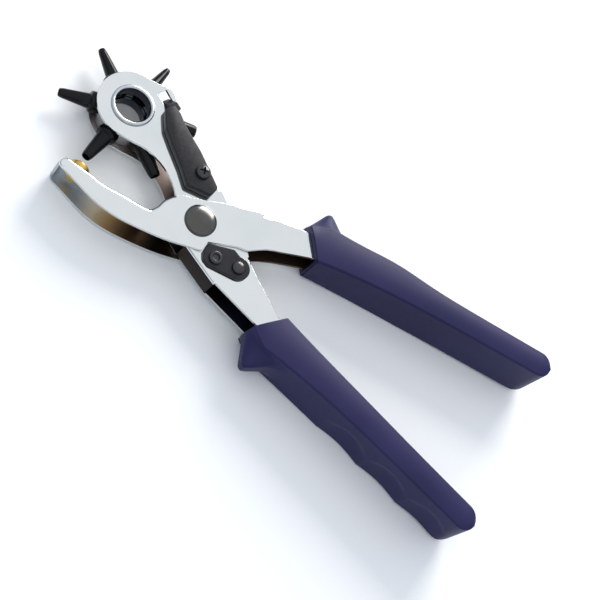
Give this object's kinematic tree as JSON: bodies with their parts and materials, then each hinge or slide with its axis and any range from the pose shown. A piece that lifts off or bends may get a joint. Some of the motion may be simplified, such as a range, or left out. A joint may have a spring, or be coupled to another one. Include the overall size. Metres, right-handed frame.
{
  "type": "revolving hole punch pliers",
  "caption": "Hand pliers of crossed pressed steel arms: a turning wheel of hollow punches faces a brass anvil, with a lock leaf, a stop plate and moulded grips.",
  "frame": {"origin": "on the pivot axis, at the flat back head of the pivot rivet", "axes": "+Z along the pivot axis, from the back of the pliers to the front; +X from the pivot towards the grips; +Y towards the anvil arm's grip"},
  "size_m": [0.2344, 0.1011, 0.0228],
  "materials": {
    "chrome": "polished chrome plate on pressed steel",
    "bright_steel": "nickel plated, turned",
    "dark_steel": "dark burnished steel",
    "spring_steel": "drawn spring wire",
    "black_oxide": "blackened steel, satin",
    "brass": "turned brass",
    "vinyl": "satin navy vinyl with a fine moulded grain"
  },
  "bodies": {
    "punch_arm_body": {"punch_arm": "chrome", "pivot_rivet": "dark_steel", "opening_spring": "spring_steel", "wheel_bush_front": "bright_steel", "wheel_bush_back": "bright_steel", "lock_spring": "black_oxide", "lock_screw": "black_oxide", "lock_nut": "black_oxide", "stop_plate": "black_oxide", "stop_screw": "black_oxide", "stop_rivet": "black_oxide", "grip_punch_arm": "vinyl"},
    "anvil_arm_body": {"anvil_arm": "chrome", "anvil": "brass", "grip_anvil_arm": "vinyl"},
    "wheel_body": {"punch_wheel": "bright_steel", "punch_tube_1": "black_oxide", "punch_tube_2": "black_oxide", "punch_tube_3": "black_oxide", "punch_tube_4": "black_oxide", "punch_tube_5": "black_oxide", "punch_tube_6": "black_oxide"}
  },
  "joints": [
    {"name": "jaw", "type": "hinge", "parent": "punch_arm_body", "child": "anvil_arm_body", "pos_m": [0, 0, 0], "axis": [0, 0, 1], "range_deg": [-5.5, 0], "stiffness_Nm_per_rad": 0.9, "springref_deg": 20.05, "deforming": ["opening_spring"]},
    {"name": "wheel", "type": "hinge", "parent": "punch_arm_body", "child": "wheel_body", "pos_m": [-0.0473, 0.0259, 0], "axis": [0, 0, 1], "continuous": true, "deforming": ["lock_spring"]}
  ]
}
